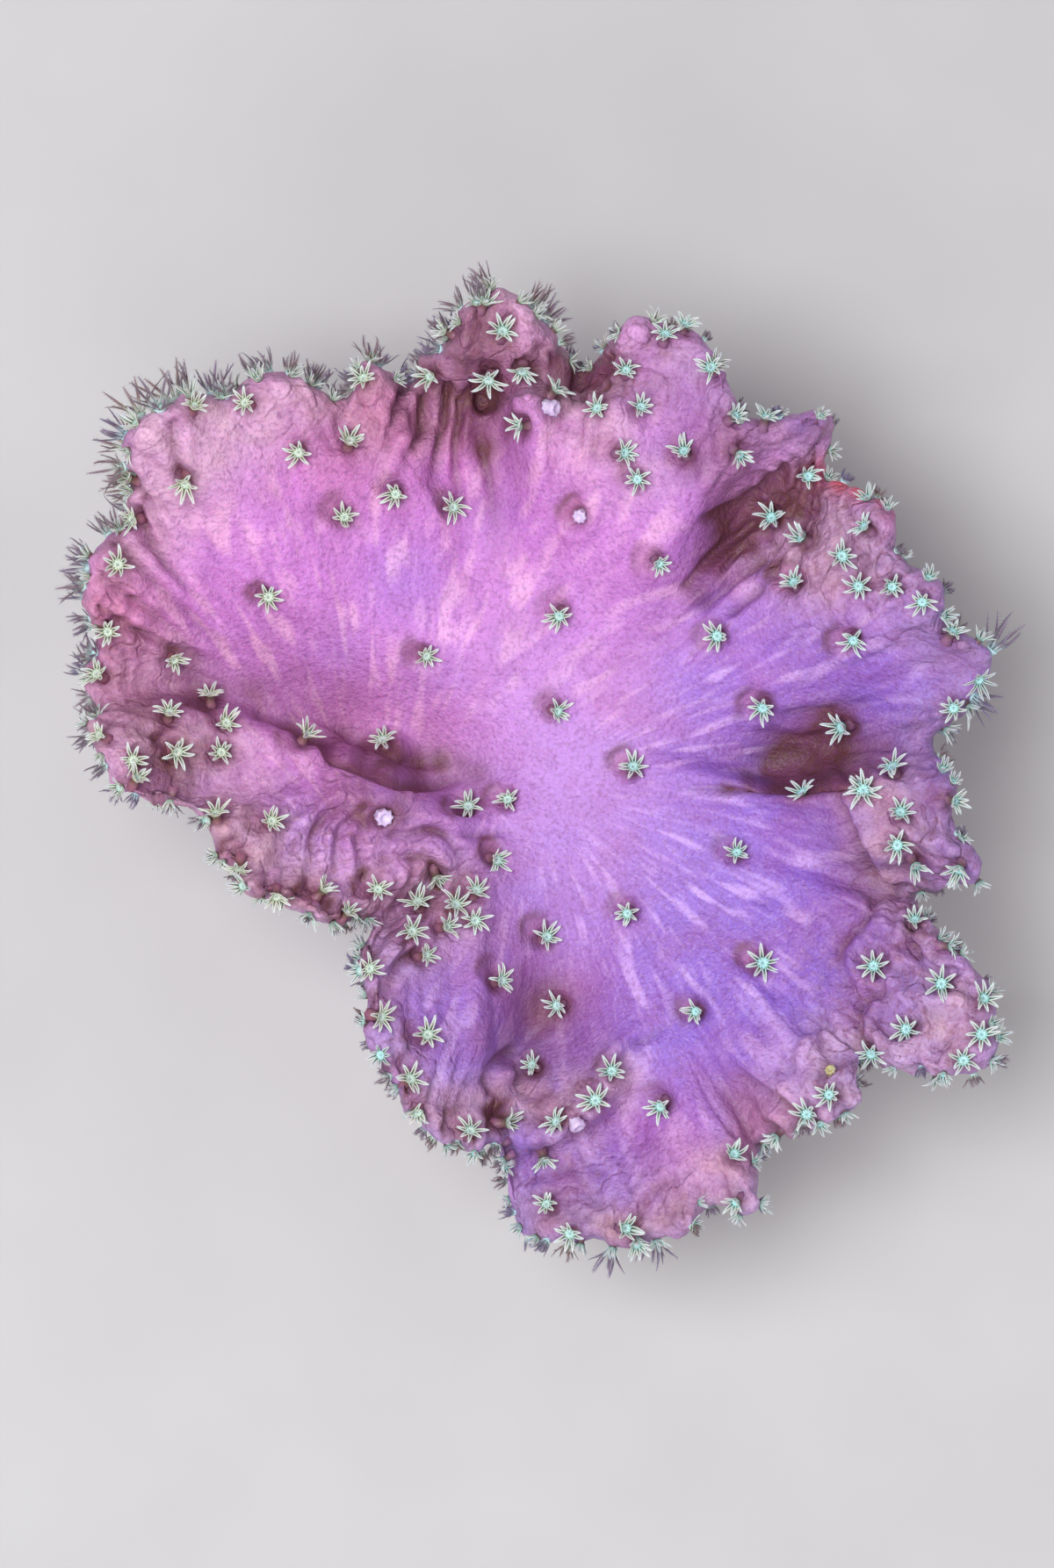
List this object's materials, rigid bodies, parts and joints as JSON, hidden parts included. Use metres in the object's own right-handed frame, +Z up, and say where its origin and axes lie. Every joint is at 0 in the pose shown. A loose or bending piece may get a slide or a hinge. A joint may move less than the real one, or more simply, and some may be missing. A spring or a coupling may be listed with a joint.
{
  "type": "cabbage leather coral",
  "caption": "Soft coral colony: a thick, lobed and ruffled bowl-shaped disc covered in small polyps, on a short stalk with a flat cut foot.",
  "frame": {"origin": "middle of the flat cut face at the foot of the stalk", "axes": "+Z up out of the bowl of the disc; +Y towards the top lobe, +X towards the right-hand lobe as the colony is seen from above"},
  "size_m": [0.083, 0.0879, 0.0418],
  "materials": {
    "coral_flesh": "satin, fine-grained leathery skin, pink to violet, paler salmon at the margins"
  },
  "bodies": {
    "root": {"coral_colony": "coral_flesh"}
  },
  "joints": []
}
